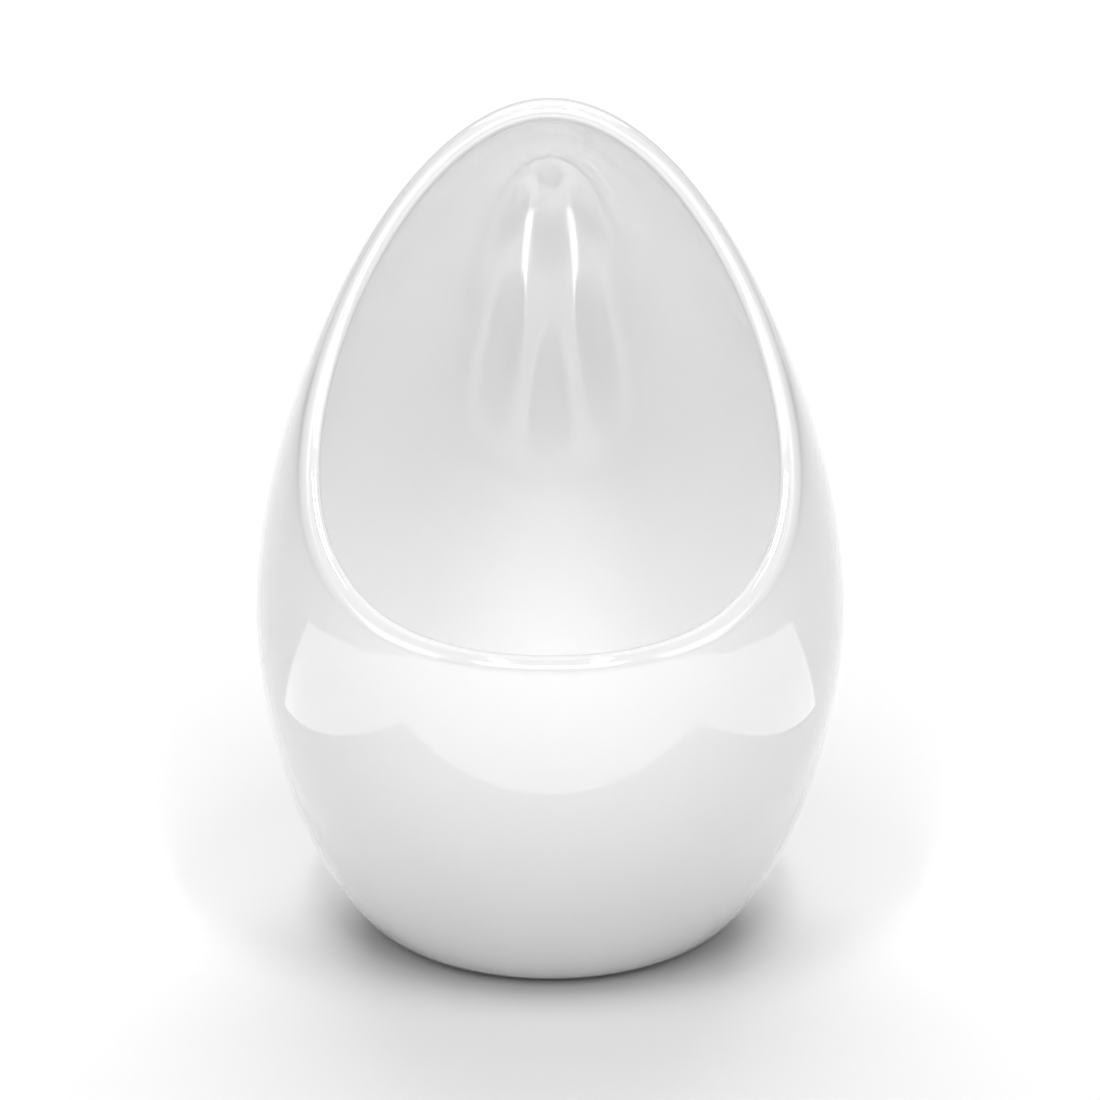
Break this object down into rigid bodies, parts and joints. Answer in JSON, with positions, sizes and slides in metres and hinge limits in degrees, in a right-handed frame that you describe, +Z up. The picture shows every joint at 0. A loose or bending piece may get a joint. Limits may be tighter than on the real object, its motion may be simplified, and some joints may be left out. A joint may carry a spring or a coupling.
{
  "type": "egg holder tray",
  "caption": "Upright egg-shaped holder with an open scooped front, double-walled gloss white shell and a lift-out egg tray low in its bowl.",
  "frame": {"origin": "on the table, under the middle of the base", "axes": "+Z up, -Y out of the open front, +X to the right seen from the front"},
  "size_m": [0.206, 0.206, 0.3],
  "materials": {
    "gloss_white": "high gloss",
    "gloss_white_inside": "high gloss",
    "tray_white": "satin gloss",
    "matt_white": "fine spark texture",
    "pad_silicone": "matt translucent",
    "screw_steel": "plated"
  },
  "bodies": {
    "holder": {"front_shell": "gloss_white", "rear_shell": "gloss_white", "inner_liner": "gloss_white_inside", "base_plate": "matt_white", "shell_screws": "screw_steel", "liner_screws": "screw_steel", "foot_pad_front": "pad_silicone", "foot_pad_right": "pad_silicone", "foot_pad_back": "pad_silicone", "foot_pad_left": "pad_silicone"},
    "tray": {"egg_tray": "tray_white"}
  },
  "joints": [
    {"name": "tray_lift", "type": "slide", "parent": "holder", "child": "tray", "axis": [0, 0, 1], "range_m": [0, 0.125]}
  ]
}
